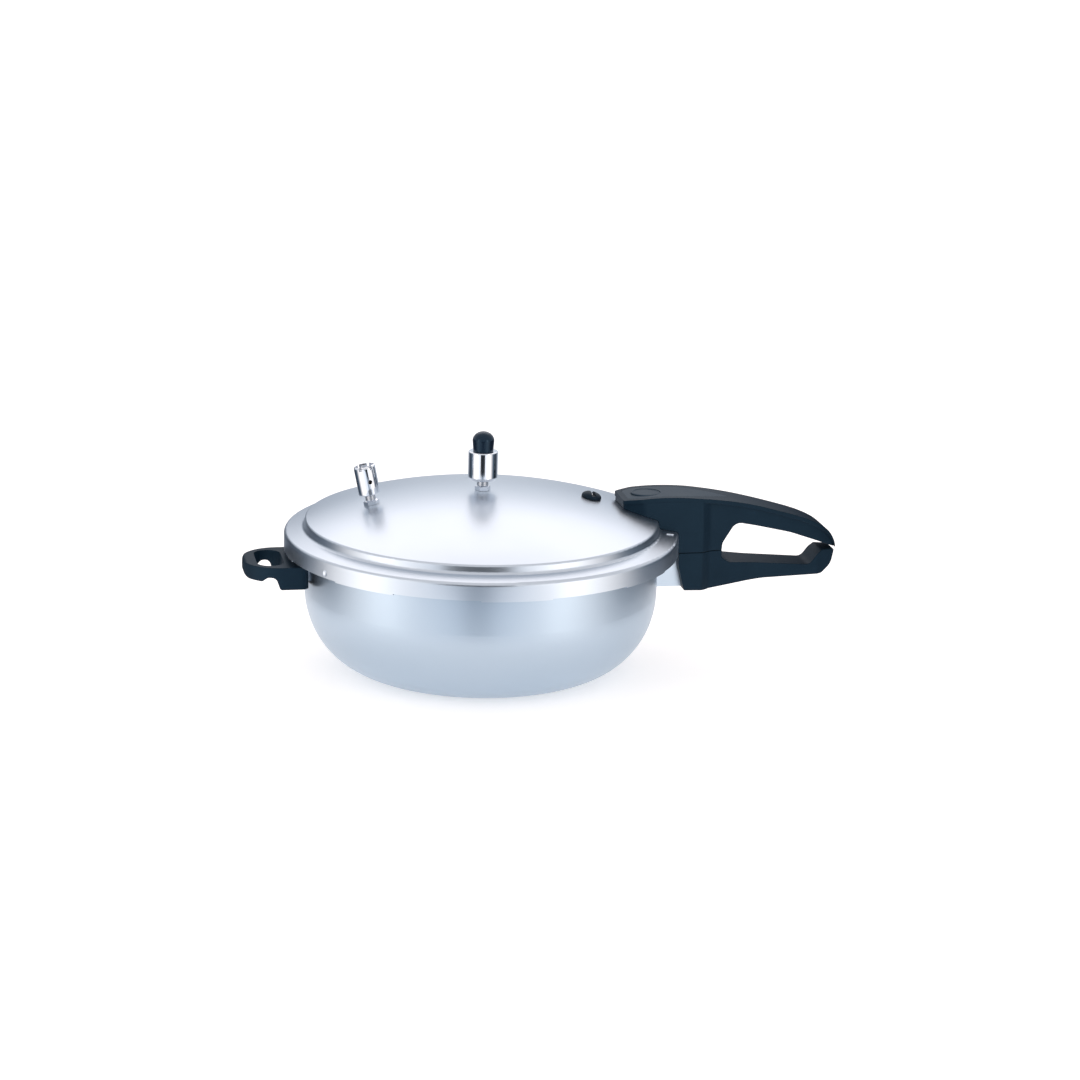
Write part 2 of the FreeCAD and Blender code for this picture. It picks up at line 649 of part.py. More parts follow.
def make_valve_plunger():
    low_z = SEAT_Z + PLATE_GAP
    disc = Part.makeCylinder(STEM_R, PLUNGER_DISC, Vec(0, 0, low_z))
    nose = Part.makeCone(STEM_BORE_R - 0.9, STEM_BORE_R - SHAFT_GAP, 1.5, Vec(0, 0, low_z - 1.5))
    rod = Part.makeCylinder(ROD_R, CAP_BOTTOM - low_z + 1.0, Vec(0, 0, low_z))
    return on_valve_seat(disc.fuse(nose).fuse(rod).removeSplitter())


def make_valve_spring():
    low_z = SEAT_Z + PLATE_GAP + PLUNGER_DISC + SPRING_WIRE / 2 + PLATE_GAP
    high_z = CAP_BOTTOM - SPRING_WIRE / 2 - PLATE_GAP
    helix = Part.makeHelix(SPRING_PITCH, high_z - low_z, SPRING_R)
    section = Part.Wire(Part.makeCircle(SPRING_WIRE / 2, Vec(SPRING_R, 0, 0), Y_AXIS))
    coil = Part.Wire(helix.Edges).makePipeShell([section], True, True)
    coil.translate(Vec(0, 0, low_z))
    return on_valve_seat(coil)


# ---- plug and pressure pin ----


def make_plug():
    """Rubber grommet with a domed, slotted head, pressed in a hole of the lid."""
    rim = Vec(PLUG_R, 0, 1.2)
    head = revolved([
        Part.makeLine(Vec(0, 0, SEAT_GAP), Vec(PLUG_R, 0, SEAT_GAP)),
        Part.makeLine(Vec(PLUG_R, 0, SEAT_GAP), rim),
        quarter_ellipse(rim, Vec(PLUG_R, 0, PLUG_HEIGHT), Vec(0, 0, PLUG_HEIGHT)),
        Part.makeLine(Vec(0, 0, PLUG_HEIGHT), Vec(0, 0, SEAT_GAP))])
    neck = Part.makeCylinder(PLUG_R - 2.0 - SEAT_GAP, LID_WALL + 0.4, Vec(0, 0, -LID_WALL - 0.2))
    lip = Part.makeCylinder(PLUG_R - 0.8, 1.8, Vec(0, 0, -LID_WALL - 2.0))
    plug = head.fuse(neck).fuse(lip).removeSplitter()
    plug = plug.cut(Part.makeCylinder(PIN_R + SHAFT_GAP, 20, Vec(0, 0, -10)))
    slot = Part.makeBox(PLUG_SLOT, 4 * PLUG_R, 4, Vec(-PLUG_SLOT / 2, -2 * PLUG_R, PLUG_HEIGHT - 2.2))
    return on_plug_seat(plug.cut(slot))


def make_pressure_pin():
    low_z = -LID_WALL - PIN_TRAVEL - 6.0
    pin = turned([(0, low_z, 0), (PIN_R + 1.4, low_z, 0.3), (PIN_R + 1.4, low_z + 1.4, 0),
                  (PIN_R, low_z + 1.4, 0), (PIN_R, PIN_TIP_Z, 0.5), (0, PIN_TIP_Z, 0)])
    return on_plug_seat(pin)


def make_pin_clip():
    """Spring clip on the pin that stops it from falling out of the plug."""
    low_z = -LID_WALL - PIN_TRAVEL - 3.2
    return on_plug_seat(tube(PIN_R + 1.8, PIN_R + FIT_GAP, low_z, low_z + 0.8))


# ---- upper handle ----

def from_skirt(x, height):
    """A point of a long handle: outward from the skirt, and above the split between the handles."""
    return SKIRT_R + x, SPLIT_Z + height


def crest_points(sink):
    """The upper handle's top line, lowered by sink."""
    front = [(-HANDLE_FRONT_IN, -7.0), (-21.5, -4.9), (0, -4.7), (22.5, -6.7)]
    tip = HANDLE_LENGTH
    rear = [(50.5, 32.4), (tip - 41.5, 25.7), (tip - 15.5, 16.4), (tip - 7.0, 10.5), (tip - 2.8, 4.8),
            (tip, -TIP_DROP)]
    points = [(SKIRT_R + x, DOME_TOP_Z + drop - sink) for x, drop in front]
    for x, height in rear:
        points.append((from_skirt(x, height)[0], from_skirt(x, height)[1] - sink))
    return points


def under_corners(front_z):
    """The upper handle's underside, from its tip inward."""
    tip = HANDLE_LENGTH
    corners = [(tip - 0.3, -TIP_DROP - 0.3, 0.1), (tip - 14.5, 3.4, 20), (82.0, 10.7, 60),
               (60.0, 15.6, 60), (41.5, 19.5, 7.5), (32.0, 5.0, 6), (31.6, 0, 0)]
    points = []
    for x, height, radius in corners:
        points.append(from_skirt(x, height) + (radius,))
    points.append((SKIRT_R - HANDLE_FRONT_IN, SPLIT_Z, 0))
    points.append((SKIRT_R - HANDLE_FRONT_IN, front_z, 0))
    return points


def upper_side(sink):
    crest = crest_points(sink)
    tip = crest[-1]
    corners = [(tip[0], tip[1], 0)] + under_corners(crest[0][1])
    return pull_across([spline(crest)] + rounded_path(side_points(corners)), 40)


def upper_plan(nose, plate, grip, end):
    """Half outline of the upper handle seen from above."""
    return [
        (SKIRT_R - HANDLE_FRONT_IN, nose, 3), (SKIRT_R - HANDLE_FRONT_IN + 12, plate, 10),
        (SKIRT_R + BLOCK_END - 8, plate, 12), (SKIRT_R + BLOCK_END + ROOT_LENGTH, grip, 60),
        (SKIRT_R + HANDLE_LENGTH - 12, grip - 0.5, 14), (SKIRT_R + HANDLE_LENGTH + end, 8, 5)]


def block_plan(nose, wide, root, grip):
    """Half outline of the handle under its top plate, with the wide block over the shoulder."""
    return [
        (SKIRT_R - HANDLE_FRONT_IN + 0.4, nose, 3), (SKIRT_R - HANDLE_FRONT_IN + 14, wide, 10),
        (SKIRT_R + BLOCK_END - 4, wide, 3), (SKIRT_R + BLOCK_END + 2, root, 5),
        (SKIRT_R + BLOCK_END + ROOT_LENGTH, grip, 60),
        (SKIRT_R + HANDLE_LENGTH - 12, grip - 0.5, 14), (SKIRT_R + HANDLE_LENGTH - 1, 7.2, 5)]


def lid_envelope():
    """The lid's outer face grown by the seat gap, open below, for cutting what sits on it."""
    return lid_body(-SEAT_GAP, SPLIT_Z - 20)


def make_upper_handle():
    side = upper_side(0)
    plan = upper_plan(NOSE_HALF, PLATE_HALF, GRIP_HALF + PLATE_LIP, 0.3)
    plate = Part.Face(plan_wire(plan, SPLIT_Z - 6)).extrude(Vec(0, 0, 66))
    plate = plate.common(side).cut(below_crest(PLATE_THICKNESS))
    sections = [
        plan_wire(block_plan(NOSE_HALF - 0.4, BLOCK_HALF, ROOT_HALF, GRIP_HALF), SPLIT_Z - 6),
        plan_wire(block_plan(NOSE_HALF - 0.4, BLOCK_HALF, ROOT_HALF, GRIP_HALF), SHOULDER_Z),
        plan_wire(block_plan(NOSE_HALF - 1.4, PLATE_HALF - 1.2, ROOT_HALF - ROOT_TAPER, GRIP_HALF),
            DOME_TOP_Z),
    ]
    lower = Part.makeLoft(sections[:2], True, True)
    upper = Part.makeLoft(sections[1:], True, True)
    body = lower.fuse(upper).common(upper_side(PLATE_THICKNESS / 2))
    handle = body.fuse(plate).cut(lid_envelope())
    handle = handle.cut(badge_pocket()).cut(inlay_solid(0.1))
    handle = handle.cut(front_screw_space()).cut(rear_tongue(SEAT_GAP)).cut(rear_screw_space())
    return handle.cut(rear_plate(SEAT_GAP)).removeSplitter()


def below_crest(sink):
    """What lies under the handle's top line lowered by sink."""
    crest = crest_points(sink)
    floor = [(crest[-1][0], crest[-1][1], 0), (crest[-1][0], SPLIT_Z - 20, 0),
             (crest[0][0], SPLIT_Z - 20, 0), (crest[0][0], crest[0][1], 0)]
    return pull_across([spline(crest)] + rounded_path(side_points(floor)), 40)


def crest_z(x):
    """Height of the upper handle's top line at x, from its spline."""
    line = Part.makeLine(Vec(x, 0, SPLIT_Z - 50), Vec(x, 0, DOME_TOP_Z + 50))
    distance, pairs, info = spline(crest_points(0)).distToShape(line)
    return pairs[0][0].z


def badge_solid(extra):
    top = crest_z(BADGE_X) + 0.5
    radius = BADGE_R + extra
    return Part.makeCylinder(radius, BADGE_THICKNESS + 1, Vec(BADGE_X, 0, top - BADGE_THICKNESS))


def badge_pocket():
    return badge_solid(SEAT_GAP)


def make_badge():
    """Blank round badge that covers the front screw."""
    top = crest_z(BADGE_X) + 0.5
    badge = turned([
        (0, top - BADGE_THICKNESS, 0), (BADGE_R, top - BADGE_THICKNESS, 0), (BADGE_R, top - 0.5, 0.4),
        (BADGE_R - 1.4, top, 0.4), (BADGE_R - 2.0, top - 0.4, 0.2), (0, top - 0.4, 0)])
    badge.translate(Vec(BADGE_X, 0, 0))
    return badge


def inlay_solid(grow):
    """Thin panel sunk in the handle's top, from the badge to a point on the grip."""
    half = PLATE_HALF - INLAY_MARGIN + grow
    start = SKIRT_R - HANDLE_FRONT_IN + INLAY_MARGIN - grow
    outline = [
        (start, NOSE_HALF - 3.0 + grow, 4), (start + 9, half, 8),
        (SKIRT_R + BLOCK_END - 14, half - 1, 12), (SKIRT_R + BLOCK_END + 4, GRIP_HALF - 5.5 + grow, 10),
        (SKIRT_R + BLOCK_END + 18 + grow, 1.2, 1)]
    prism = Part.Face(plan_wire(outline, SPLIT_Z)).extrude(Vec(0, 0, 60))
    return prism.common(upper_side(0)).cut(below_crest(INLAY_THICKNESS + grow))


def make_inlay():
    return inlay_solid(0).cut(badge_solid(SEAT_GAP))


# ---- what fastens the upper handle to the lid ----


def stud_top():
    return dome_z(BADGE_X) + STUD_HEIGHT


def front_seat_z():
    return crest_z(BADGE_X) + 0.5 - BADGE_THICKNESS - SCREW_SEAT


def make_front_stud():
    """Threaded stud riveted through the dome under the upper handle."""
    stud = Part.makeCylinder(STUD_R, STUD_HEIGHT + 6, Vec(BADGE_X, 0, stud_top() - STUD_HEIGHT - 6))
    stud = stud.cut(lid_envelope())
    low_z = dome_z(BADGE_X + STUD_R) - LID_WALL - 2.6
    tail = Part.makeCylinder(RIVET_R, stud_top() - low_z - 2, Vec(BADGE_X, 0, low_z))
    head = Part.makeCylinder(STUD_HEAD_R, 1.6, Vec(BADGE_X, 0, low_z))
    stud = stud.fuse(tail).fuse(head).removeSplitter()
    return stud.cut(Part.makeCylinder(SCREW_R + FIT_GAP, 4.0, Vec(BADGE_X, 0, stud_top() - 4.0)))


def front_screw_space():
    seat = front_seat_z()
    head = Part.makeCylinder(SCREW_HEAD_R + HEAD_GAP, SCREW_SEAT + 1, Vec(BADGE_X, 0, seat))
    floor_z = dome_z(BADGE_X) - 8
    shank = Part.makeCylinder(SCREW_R + SEAT_GAP, seat - floor_z, Vec(BADGE_X, 0, floor_z))
    stud_height = stud_top() + SEAT_GAP - floor_z
    stud = Part.makeCylinder(STUD_R + SEAT_GAP, stud_height, Vec(BADGE_X, 0, floor_z))
    return head.fuse(shank).fuse(stud)


def make_front_screw():
    piece = screw(front_seat_z() - stud_top() + 3.6)
    piece.rotate(ORIGIN, X_AXIS, 180)
    piece.translate(Vec(BADGE_X, 0, front_seat_z()))
    return piece


def rear_plate(grow):
    """Curved foot of the rear bracket, welded on the skirt."""
    ring = sector(SKIRT_R + PLATE_GAP - grow, SKIRT_R + 1.8 + grow, SKIRT_BOTTOM + 1 - grow,
                  SKIRT_BOTTOM + 10 + grow, 0, 2 * math.degrees((11 + grow) / SKIRT_R))
    return ring


def rear_tongue(grow):
    x_range = (SKIRT_R + 1.0, SKIRT_R + REAR_TONGUE_LENGTH + grow)
    z_range = (REAR_TONGUE_Z - grow, REAR_TONGUE_Z + REAR_TONGUE_THICKNESS + grow)
    return block(x_range, TONGUE_HALF + grow, z_range)


def make_rear_bracket():
    bracket = rear_plate(0).fuse(rear_tongue(0)).removeSplitter()
    hole = Part.makeCylinder(SCREW_R + FIT_GAP, 10, Vec(SKIRT_R + REAR_SCREW_X, 0, REAR_TONGUE_Z - 3))
    return bracket.cut(hole)


def rear_screw_space():
    x = SKIRT_R + REAR_SCREW_X
    head = Part.makeCylinder(SCREW_HEAD_R + HEAD_GAP, SCREW_HEAD_HEIGHT + 0.6, Vec(x, 0, SPLIT_Z - 0.1))
    return head.fuse(Part.makeCylinder(SCREW_R + SEAT_GAP, 12, Vec(x, 0, SPLIT_Z)))


def make_rear_screw():
    seat = SPLIT_Z + SCREW_HEAD_HEIGHT + 0.5
    piece = screw(REAR_TONGUE_Z + REAR_TONGUE_THICKNESS - seat + 0.6)
    piece.translate(Vec(SKIRT_R + REAR_SCREW_X, 0, seat))
    return piece


# ---- lower handle and its bracket ----


def lower_corners():
    """Side outline of the lower handle: outward from the skirt, and below the upper block."""
    tip = HANDLE_LENGTH - LOWER_SHORTER
    outline = [
        (LOWER_FACE_X, 0, 0), (LOWER_FACE_X, -8.0, 4), (3.8, -26.9, 1.0), (20.0, -27.3, 20),
        (63.0, -22.1, 60), (tip - 12.9, -20.6, 2), (tip - 9.9, -20.2, 4), (tip - 2.9, -14.1, 12),
        (tip, -3.4, 1.2), (tip - 10.4, -3.4, 1.5), (tip - 13.9, -6.5, 3), (tip - 19.4, -13.6, 6),
        (54.0, -10.4, 60), (37.5, -9.2, 6), (31.6, -5.0, 3), (31.8, 0, 0)]
    return [(SKIRT_R + x, LOWER_TOP_Z + z, radius) for x, z, radius in outline]


def make_lower_handle():
    side = pull_across(rounded_path(side_points(lower_corners()), closed=True), 40)
    tip_x = SKIRT_R + HANDLE_LENGTH - LOWER_SHORTER
    plan = [
        (SKIRT_R + LOWER_FACE_X, BLOCK_HALF, 0), (SKIRT_R + BLOCK_END - 4, BLOCK_HALF, 3),
        (SKIRT_R + BLOCK_END + 2, ROOT_HALF, 5),
        (SKIRT_R + BLOCK_END + ROOT_LENGTH, LOWER_GRIP_HALF + 0.6, 60),
        (tip_x - 13.4, LOWER_GRIP_HALF, 10), (tip_x + 0.6, 8, 5)]
    handle = side.common(Part.Face(plan_wire(plan, 0)).extrude(Vec(0, 0, 120)))
    handle = handle.cut(tongue(SEAT_GAP)).cut(lower_screw_space())
    return handle.cut(bracket_channel(SEAT_GAP)).removeSplitter()


def tongue(grow):
    x_range = (SKIRT_R - 2, SKIRT_R + LOWER_FACE_X + TONGUE_LENGTH + grow)
    return block(x_range, TONGUE_HALF + grow, (TONGUE_Z - grow, TONGUE_Z + TONGUE_THICKNESS + grow))


def bracket_channel(grow):
    """Hollow channel from the pot's wall into the handle's face."""
    x_range = (POT_R - 3, BRACKET_END + grow)
    z_range = (BRACKET_TOP - BRACKET_HEIGHT - grow, BRACKET_TOP + grow)
    outside = block(x_range, BRACKET_HALF + grow, z_range)
    return outside.cut(Part.makeCylinder(POT_R + PLATE_GAP, 200, Vec(0, 0, -50)))


def make_handle_bracket():
    channel = bracket_channel(0)
    space = block((POT_R + BRACKET_WALL + 0.5, BRACKET_END - BRACKET_WALL), BRACKET_HALF - BRACKET_WALL,
                  (BRACKET_TOP - BRACKET_HEIGHT - 1, BRACKET_TOP - BRACKET_WALL))
    bracket = channel.cut(space).fuse(tongue(0).cut(block((0, SKIRT_R + 3), 30, (0, 120))))
    hole = Part.makeCylinder(SCREW_R + FIT_GAP, 20, Vec(SKIRT_R + LOWER_SCREW_X, 0, TONGUE_Z - 5))
    bracket = bracket.cut(hole)
    for piece in rivet_places():
        bracket = bracket.cut(piece)
    return bracket.removeSplitter()


def rivet_places():
    """Holes of the rivets that hold the handle bracket on the wall."""
    return [radial(Part.makeCylinder(RIVET_R + FIT_GAP, 20, Vec(0, 0, -10)), y, z) for y, z in rivet_grid()]


def rivet_grid():
    middle = BRACKET_TOP - BRACKET_HEIGHT / 2
    return [(y, middle + rise) for y in (-7, 7) for rise in (-6.5, 6.5)]


def radial(shape, y, z, side=1):
    """Turns a piece from +Z to point out of the pot's wall, at a place across and up it."""
    placed = shape.copy()
    placed.rotate(ORIGIN, Y_AXIS, 90)
    azimuth = math.degrees(math.asin(y / POT_R))
    placed.translate(Vec(POT_BORE_R - SEAT_GAP, 0, z))
    placed.rotate(ORIGIN, Z_AXIS, azimuth)
    if side < 0:
        placed.rotate(ORIGIN, Z_AXIS, 180)
    return placed


def make_bracket_rivets():
    grip = POT_WALL + BRACKET_WALL + 1.3
    return Part.makeCompound([radial(rivet(grip), y, z) for y, z in rivet_grid()])


def lower_screw_space():
    x = SKIRT_R + LOWER_SCREW_X
    seat = TONGUE_Z - 5.0
    head = Part.makeCylinder(SCREW_HEAD_R + 1.0, 40, Vec(x, 0, seat - 40))
    return head.fuse(Part.makeCylinder(SCREW_R + SEAT_GAP, 14, Vec(x, 0, seat - 1)))


def make_lower_screw():
    seat = TONGUE_Z - 5.0 - 1.0
    piece = screw(TONGUE_Z + TONGUE_THICKNESS - seat + 0.6)
    piece.translate(Vec(SKIRT_R + LOWER_SCREW_X, 0, seat))
    return piece


def make_lower_washer():
    piece = washer(SCREW_HEAD_R + 0.8, 0.95)
    piece.translate(Vec(SKIRT_R + LOWER_SCREW_X, 0, TONGUE_Z - 6.0))
    return piece


# ---- helper handle, modelled along +X and turned to -X ----

def opposite(shape):
    placed = shape.copy()
    placed.rotate(ORIGIN, Z_AXIS, 180)
    return placed


def helper_side():
    """Side outline of the helper handle: outward from the wall, and below its top."""
    inner = POT_R - 8
    outer = POT_R + HELPER_REACH
    arch_start = POT_R + HELPER_BLOCK_DEPTH
    arch_end = arch_start + HELPER_ARCH_DEPTH
    block_low = HELPER_TOP - HELPER_BLOCK_HEIGHT
    lobe_low = HELPER_TOP - HELPER_LOBE_HEIGHT
    ceiling = HELPER_TOP - HELPER_ARCH_THICKNESS
    corners = [
        (inner, HELPER_TOP, 0), (outer, HELPER_TOP, 3), (outer, lobe_low, 3.5), (arch_end, lobe_low, 2),
        (arch_end - 3.5, ceiling, 4), (arch_start + 3, ceiling, 4), (arch_start, block_low, 2),
        (inner, block_low, 0)]
    return pull_across(rounded_path(side_points(corners), closed=True), 60)


def make_helper_handle():
    outer = POT_R + HELPER_REACH
    outline = [(POT_R + HELPER_STANDOFF, HELPER_HALF, 5), (outer, HELPER_HALF, HELPER_CORNER_R)]
    loop = helper_side().common(Part.Face(plan_wire(outline, 0)).extrude(Vec(0, 0, 120)))
    hole_start = POT_R + HELPER_HOLE_START
    hole = [(hole_start, HELPER_HOLE_WIDTH / 2, HELPER_HOLE_R),
            (hole_start + HELPER_HOLE_DEPTH, HELPER_HOLE_WIDTH / 2, HELPER_HOLE_R)]
    loop = loop.cut(Part.Face(plan_wire(hole, 0)).extrude(Vec(0, 0, 120)))
    loop = loop.cut(Part.makeCylinder(POT_R + SEAT_GAP, 200, Vec(0, 0, -50)))
    loop = loop.cut(helper_tongue(SEAT_GAP)).cut(helper_plate(SEAT_GAP)).cut(helper_screw_space())
    for y, z in helper_rivet_grid():
        loop = loop.cut(radial(Part.makeCylinder(RIVET_HEAD_R, 12, Vec(0, 0, 0)), y, z))
    return opposite(loop.removeSplitter())


def helper_plate(grow):
    """Curved foot of the helper bracket on the pot's wall."""
    middle = HELPER_TOP - HELPER_PLATE_DROP
    span = 2 * math.degrees((HELPER_PLATE_HALF + grow) / POT_R)
    return sector(POT_R + PLATE_GAP, POT_R + 2.0 + grow, middle - 5.5 - grow, middle + 5.5 + grow, 0, span)


def helper_tongue(grow):
    x_range = (POT_R + 1.0, POT_R + HELPER_TONGUE_LENGTH + grow)
    z_range = (HELPER_TONGUE_Z - grow, HELPER_TONGUE_Z + HELPER_TONGUE_THICKNESS + grow)
    return block(x_range, 7 + grow, z_range)


def helper_rivet_grid():
    middle = HELPER_TOP - HELPER_PLATE_DROP
    return [(-HELPER_RIVET_SIDE, middle), (HELPER_RIVET_SIDE, middle)]


def make_helper_bracket():
    bracket = helper_plate(0).fuse(helper_tongue(0)).removeSplitter()
    x = POT_R + HELPER_SCREW_X
    bracket = bracket.cut(Part.makeCylinder(SCREW_R + FIT_GAP, 12, Vec(x, 0, HELPER_TONGUE_Z - 3)))
    for y, z in helper_rivet_grid():
        bracket = bracket.cut(radial(Part.makeCylinder(RIVET_R + FIT_GAP, 20, Vec(0, 0, -5)), y, z))
    return opposite(bracket)


def make_helper_rivets():
    grip = POT_WALL + 2.2
    return Part.makeCompound([radial(rivet(grip), y, z, -1) for y, z in helper_rivet_grid()])


def helper_screw_space():
    x = POT_R + HELPER_SCREW_X
    seat = HELPER_TONGUE_Z - 2.4
    head = Part.makeCylinder(SCREW_HEAD_R + 1.0, 20, Vec(x, 0, seat - 20))
    return head.fuse(Part.makeCylinder(SCREW_R + SEAT_GAP, 8, Vec(x, 0, seat - 1)))


def make_helper_screw():
    seat = HELPER_TONGUE_Z - 2.4 - 1.0
    piece = screw(HELPER_TONGUE_Z + HELPER_TONGUE_THICKNESS - seat + 0.2)
    piece.translate(Vec(POT_R + HELPER_SCREW_X, 0, seat))
    return opposite(piece)


def make_helper_washer():
    piece = washer(SCREW_HEAD_R + 0.8, 0.95)
    piece.translate(Vec(POT_R + HELPER_SCREW_X, 0, HELPER_TONGUE_Z - 3.4))
    return opposite(piece)


def pot_with_rivet_holes():
    pot = make_pot()
    for y, z in rivet_grid():
        pot = pot.cut(radial(Part.makeCylinder(RIVET_R + FIT_GAP, 20, Vec(0, 0, -10)), y, z))
    for y, z in helper_rivet_grid():
        pot = pot.cut(radial(Part.makeCylinder(RIVET_R + FIT_GAP, 20, Vec(0, 0, -10)), y, z, -1))
    return pot


NODES = {
    "pot_body": pot_with_rivet_holes,
    "handle_bracket": make_handle_bracket,
    "handle_bracket_rivets": make_bracket_rivets,
    "lower_handle": make_lower_handle,
    "lower_handle_screw": make_lower_screw,
    "lower_handle_washer": make_lower_washer,
    "helper_bracket": make_helper_bracket,
    "helper_bracket_rivets": make_helper_rivets,
    "helper_handle": make_helper_handle,
    "helper_handle_screw": make_helper_screw,
    "helper_handle_washer": make_helper_washer,
    "lid_shell": make_lid,
    "sealing_ring": make_sealing_ring,
    "vent_pipe": make_vent_pipe,
    "vent_seal": make_vent_seal,
    "vent_nut": make_vent_nut,
    "vent_shield": make_vent_shield,
    "weight_shell": make_weight_shell,
    "weight_needle": make_weight_needle,
    "weight_knob": make_weight_knob,
    "safety_valve_stem": make_valve_stem,
    "safety_valve_seal": make_valve_seal,
    "safety_valve_nut": make_valve_nut,
    "safety_valve_body": make_valve_body,
    "safety_valve_cap": make_valve_cap,
    "safety_valve_plunger": make_valve_plunger,
    "safety_valve_spring": make_valve_spring,
    "pressure_plug": make_plug,
    "pressure_pin": make_pressure_pin,
    "pressure_pin_clip": make_pin_clip,
    "upper_handle": make_upper_handle,
    "handle_inlay": make_inlay,
    "handle_badge": make_badge,
    "upper_handle_stud": make_front_stud,
    "upper_handle_front_screw": make_front_screw,
    "upper_handle_bracket": make_rear_bracket,
    "upper_handle_rear_screw": make_rear_screw,
}

os.makedirs("parts", exist_ok=True)
for node, make in NODES.items():
    shape = make()
    print(node, len(shape.Solids), round(shape.Volume, 1), shape.isValid())
    shape.exportStep("parts/" + node + ".step")
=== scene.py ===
import json
import math

import bpy
from mathutils import Matrix, Vector


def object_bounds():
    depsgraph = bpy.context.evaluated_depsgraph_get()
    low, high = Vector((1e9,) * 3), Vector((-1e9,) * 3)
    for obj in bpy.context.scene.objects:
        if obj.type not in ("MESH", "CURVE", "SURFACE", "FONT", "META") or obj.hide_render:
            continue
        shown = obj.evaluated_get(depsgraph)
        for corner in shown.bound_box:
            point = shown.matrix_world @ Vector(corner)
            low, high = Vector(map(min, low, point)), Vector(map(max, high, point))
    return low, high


# Looks of the stovetop pressure cooker. Metres, in the frame of the CAD model.

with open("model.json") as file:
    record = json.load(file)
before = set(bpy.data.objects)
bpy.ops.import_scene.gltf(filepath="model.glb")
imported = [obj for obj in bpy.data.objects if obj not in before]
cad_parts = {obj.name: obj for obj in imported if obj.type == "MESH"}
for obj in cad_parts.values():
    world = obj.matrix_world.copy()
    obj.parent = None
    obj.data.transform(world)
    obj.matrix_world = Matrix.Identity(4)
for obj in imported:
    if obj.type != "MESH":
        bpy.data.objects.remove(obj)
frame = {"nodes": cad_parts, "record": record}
CAD_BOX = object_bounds()
RECORD = frame["record"]

# ---- view ----
# angles in degrees: the azimuth turns from straight in front, where +X points right
VIEW_AZIMUTH = -11.5
VIEW_ELEVATION = 15.1
VIEW_ROLL = 1.42
VIEW_DISTANCE = 2.0
FOCAL_LENGTH = 95.3
SENSOR_WIDTH = 36.0
AIM_HEIGHT = 0.0785
AIM_RIGHT = 0.0411
AIM_UP = 0.0106

# ---- light ----
WORLD_SIDE = (0.86, 0.93, 1.02)
WORLD_TOP = (1.04, 1.01, 1.02)
WORLD_STRENGTH = 0.85
SKY_LOW = 0.10       # height in the sky, from 0 to 1, where its colour starts to change
SKY_HIGH = 0.75      # and where the change ends
FLOOR_HALF = 30.0
FLOOR_DROP = 0.0001  # clear of the base, so that the two faces don't flicker
FLOOR_GLOW = 0.42
FLOOR_LIGHT = (0.93, 0.90, 0.885)
FLOOR_DARK = (0.91, 0.88, 0.865)
FLOOR_GLOW_COLOUR = (1.0, 0.99, 0.98, 1.0)
# name, degrees from the view, elevation, distance, width and height, power, colour
SOFTBOXES = [
    ("key_left", -50, 14, 2.2, (0.7, 1.1), 5, (1.0, 0.87, 0.76)),
    ("key_right", 44, 14, 2.2, (0.7, 1.1), 5, (1.0, 0.87, 0.76)),
    ("top", 180, 44, 2.4, (2.2, 1.5), 9, (1.0, 0.91, 0.89))]
CARD_RADIUS = 0.30
CARD_HEIGHT = 0.17
CARD_STEPS = 120
CARD_GLOW = 1.0
STRIPE_LOW = 0.066   # over this height a dark gap parts the cards in front
STRIPE_HALF = 17.0   # degrees to each side
STRIPE_GLOW = 0.06
# reflector cards round the object: degrees from the view, and the card's colour there
CARD_BANDS = [
    (-180, (0.62, 0.66, 0.72)), (-150, (0.42, 0.47, 0.54)), (-118, (0.03, 0.04, 0.06)),
    (-88, (0.10, 0.14, 0.19)), (-72, (1.10, 1.04, 1.02)), (-50, (2.00, 1.90, 1.84)),
    (-32, (1.20, 1.18, 1.20)), (-11, (1.00, 1.06, 1.16)), (-3, (0.34, 0.41, 0.50)),
    (3, (0.34, 0.41, 0.50)), (11, (1.00, 1.06, 1.16)), (30, (1.20, 1.18, 1.20)),
    (44, (2.00, 1.90, 1.84)), (66, (1.10, 1.04, 1.02)), (84, (0.10, 0.14, 0.19)),
    (118, (0.03, 0.04, 0.06)), (150, (0.42, 0.47, 0.54)), (180, (0.62, 0.66, 0.72))]

# ---- finishes ----
NEUTRAL = (1.0, 1.0, 1.0)
BAKELITE_TINT = (0.42, 0.72, 1.0)
BEVEL_SAMPLES = 6
# noise cells to the metre
SPUN_CLOUD = 14.0
SPUN_GRAIN = 2600.0
POLISH_CLOUD = 180.0
POLISH_MARKS = 3200.0
MOULD_CLOUD = 45.0
MOULD_GRAIN = 1900.0
FLOOR_CLOUD = 3.0
# depth of the fine relief
SPUN_DEPTH = 0.00004
POLISH_DEPTH = 0.00002
MOULD_DEPTH = 0.00006
RING_RISE = 0.8      # how much height counts as radius, which carries the rings down the walls


# ---- node helpers ----

def new_material(name):
    """Empty principled material: returns it with its tree and its shader."""
    material = bpy.data.materials.new(name)
    material.use_nodes = True
    tree = material.node_tree
    shader = tree.nodes["Principled BSDF"]
    return material, tree, shader


def add(tree, kind, **values):
    """New node with its named inputs or properties set."""
    node = tree.nodes.new(kind)
    for key, value in values.items():
        if key in node.inputs:
            node.inputs[key].default_value = value
        else:
            setattr(node, key, value)
    return node


def math_node(tree, operation, first, second):
    """Math node between sockets or numbers."""
    node = tree.nodes.new("ShaderNodeMath")
    node.operation = operation
    for index, value in enumerate((first, second)):
        if isinstance(value, (int, float)):
            node.inputs[index].default_value = value
        else:
            tree.links.new(value, node.inputs[index])
    return node.outputs[0]


